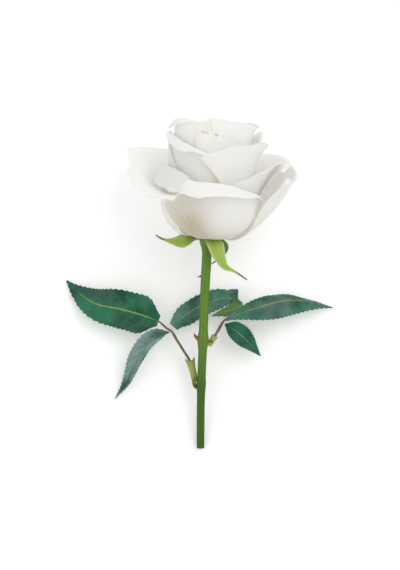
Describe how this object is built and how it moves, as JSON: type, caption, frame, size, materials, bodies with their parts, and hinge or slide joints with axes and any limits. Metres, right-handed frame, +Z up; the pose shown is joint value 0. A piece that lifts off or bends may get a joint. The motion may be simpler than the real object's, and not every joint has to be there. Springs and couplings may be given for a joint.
{
  "type": "cut rose stem",
  "caption": "Cut rose stem lying on its side: a full open bloom with rolled petals, a straight green stem with a flat cut, sepals and two compound leaves.",
  "frame": {"origin": "bottom centre of the bounding box, on the surface the stem lies on", "axes": "+Z up from the surface, +Y along the stem from the cut end to the bloom, +X to the right as seen from above with the bloom at the top"},
  "size_m": [0.1636, 0.1972, 0.0769],
  "materials": {
    "petal": "matt, slightly translucent",
    "leaf": "satin, waxy",
    "stem": "satin",
    "sepal": "matt",
    "stalk": "satin",
    "stipule": "matt"
  },
  "bodies": {
    "root": {"bud_lower": "stem", "bud_upper": "stalk", "hip": "stem", "left_leaflet_behind": "leaf", "left_leaflet_end": "leaf", "left_leaflet_lower": "leaf", "left_stalk": "stalk", "left_stipule": "stipule", "petal_bud_01": "petal", "petal_bud_02": "petal", "petal_bud_03": "petal", "petal_bud_04": "petal", "petal_bud_05": "petal", "petal_bud_06": "petal", "petal_bud_07": "petal", "petal_bud_08": "petal", "petal_bud_09": "petal", "petal_bud_10": "petal", "petal_bud_11": "petal", "petal_bud_12": "petal", "petal_bud_13": "petal", "petal_bud_14": "petal", "petal_outer_01": "petal", "petal_outer_02": "petal", "petal_outer_03": "petal", "petal_outer_04": "petal", "petal_outer_05": "petal", "petal_outer_06": "petal", "petal_outer_07": "petal", "petal_outer_08": "petal", "petal_outer_09": "petal", "petal_outer_10": "petal", "petal_outer_11": "petal", "petal_outer_12": "petal", "petal_outer_13": "petal", "petal_outer_14": "petal", "petal_outer_15": "petal", "petal_outer_16": "petal", "petal_outer_17": "petal", "petal_outer_18": "petal", "prickle": "stalk", "right_leaflet_end": "leaf", "right_leaflet_lower": "leaf", "right_stalk": "stalk", "right_stipule": "stipule", "sepal_1": "sepal", "sepal_2": "sepal", "sepal_3": "sepal", "sepal_4": "sepal", "sepal_5": "sepal", "stem": "stem"}
  },
  "joints": []
}
